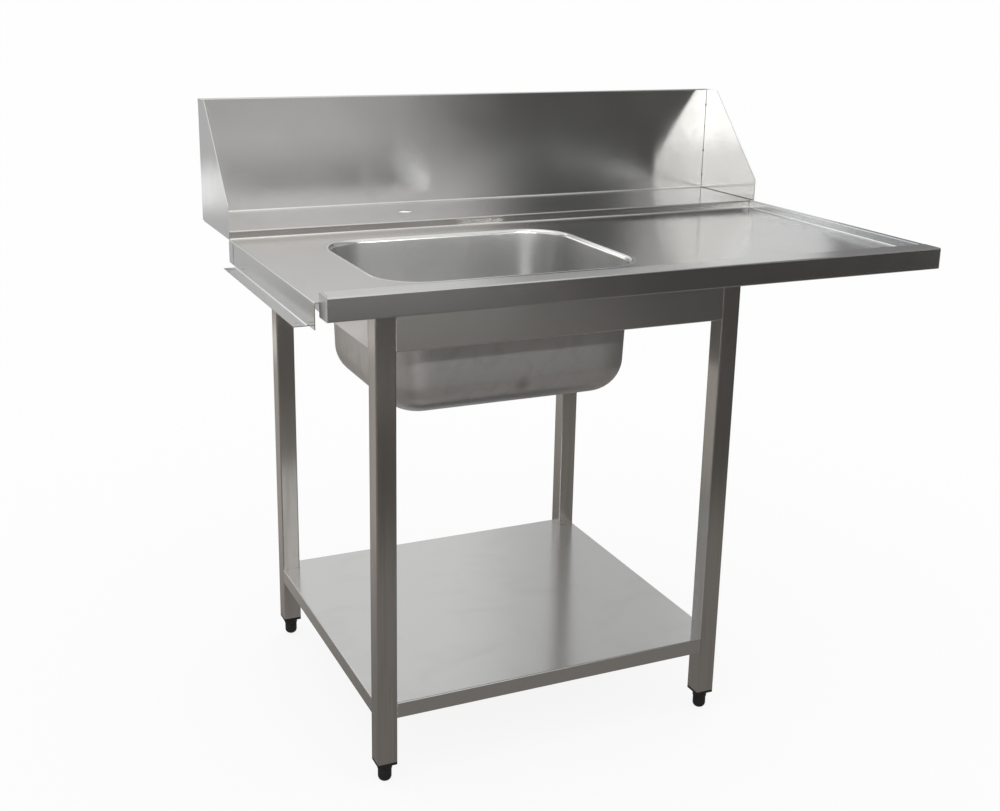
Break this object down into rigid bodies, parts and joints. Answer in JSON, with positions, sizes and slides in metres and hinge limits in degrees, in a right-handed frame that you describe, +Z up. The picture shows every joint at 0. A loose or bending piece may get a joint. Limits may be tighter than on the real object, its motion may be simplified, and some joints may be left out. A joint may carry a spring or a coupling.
{
  "type": "sink table",
  "caption": "Stainless dishwash sink table: sunk track, pressed bowl, ledge with tap hole, splashback with cheeks, side coupling flange, open frame, under-shelf and screw feet.",
  "frame": {"origin": "on the floor, under the middle of the table's outline, at the lowest point of the screwed-in feet", "axes": "+X along the front to the right, +Y to the back and the splashback, +Z up"},
  "size_m": [1.202, 0.812, 1.092],
  "materials": {
    "brushed_sheet": "fine brushed sheet",
    "tube_steel": "ground square tube",
    "pressed_steel": "deep-drawn, satin polished",
    "turned_steel": "turned and polished",
    "fixing_steel": "plain",
    "black_plastic": "moulded black",
    "seal_rubber": "matt black",
    "stopper_rubber": "matt black"
  },
  "bodies": {
    "table": {"apron_front": "brushed_sheet", "apron_left": "brushed_sheet", "apron_rear": "brushed_sheet", "apron_right": "brushed_sheet", "bowl": "pressed_steel", "coupling_flange": "brushed_sheet", "deck": "brushed_sheet", "fixing_nuts": "fixing_steel", "fixing_studs": "fixing_steel", "front_rim": "brushed_sheet", "front_rim_left_cap": "brushed_sheet", "front_rim_right_cap": "brushed_sheet", "ledge_bracket_left": "brushed_sheet", "ledge_bracket_right": "brushed_sheet", "left_cheek": "brushed_sheet", "leg_front_left": "tube_steel", "leg_front_right": "tube_steel", "leg_plug_front_left": "black_plastic", "leg_plug_front_right": "black_plastic", "leg_plug_rear_left": "black_plastic", "leg_plug_rear_right": "black_plastic", "leg_rear_left": "tube_steel", "leg_rear_right": "tube_steel", "overhang_channel_front": "brushed_sheet", "overhang_channel_rear": "brushed_sheet", "rear_ledge": "brushed_sheet", "right_cheek": "brushed_sheet", "right_rim": "brushed_sheet", "shelf": "brushed_sheet", "shelf_channel": "brushed_sheet", "splashback": "brushed_sheet", "waste_body": "turned_steel", "waste_flange": "turned_steel", "waste_grate": "turned_steel", "waste_lower_gasket": "seal_rubber", "waste_top_gasket": "seal_rubber"},
    "stopper": {"waste_stopper": "stopper_rubber", "stopper_grip": "turned_steel"},
    "screw_foot_front_left": {"foot_front_left": "black_plastic"},
    "screw_foot_front_right": {"foot_front_right": "black_plastic"},
    "screw_foot_rear_left": {"foot_rear_left": "black_plastic"},
    "screw_foot_rear_right": {"foot_rear_right": "black_plastic"}
  },
  "joints": [
    {"name": "stopper_lift", "type": "slide", "parent": "table", "child": "stopper", "axis": [0, 0, 1], "range_m": [0, 0.15]},
    {"name": "foot_front_left_travel", "type": "slide", "parent": "table", "child": "screw_foot_front_left", "axis": [0, 0, -1], "range_m": [0, 0.025]},
    {"name": "foot_front_right_travel", "type": "slide", "parent": "table", "child": "screw_foot_front_right", "axis": [0, 0, -1], "range_m": [0, 0.025]},
    {"name": "foot_rear_left_travel", "type": "slide", "parent": "table", "child": "screw_foot_rear_left", "axis": [0, 0, -1], "range_m": [0, 0.025]},
    {"name": "foot_rear_right_travel", "type": "slide", "parent": "table", "child": "screw_foot_rear_right", "axis": [0, 0, -1], "range_m": [0, 0.025]}
  ]
}
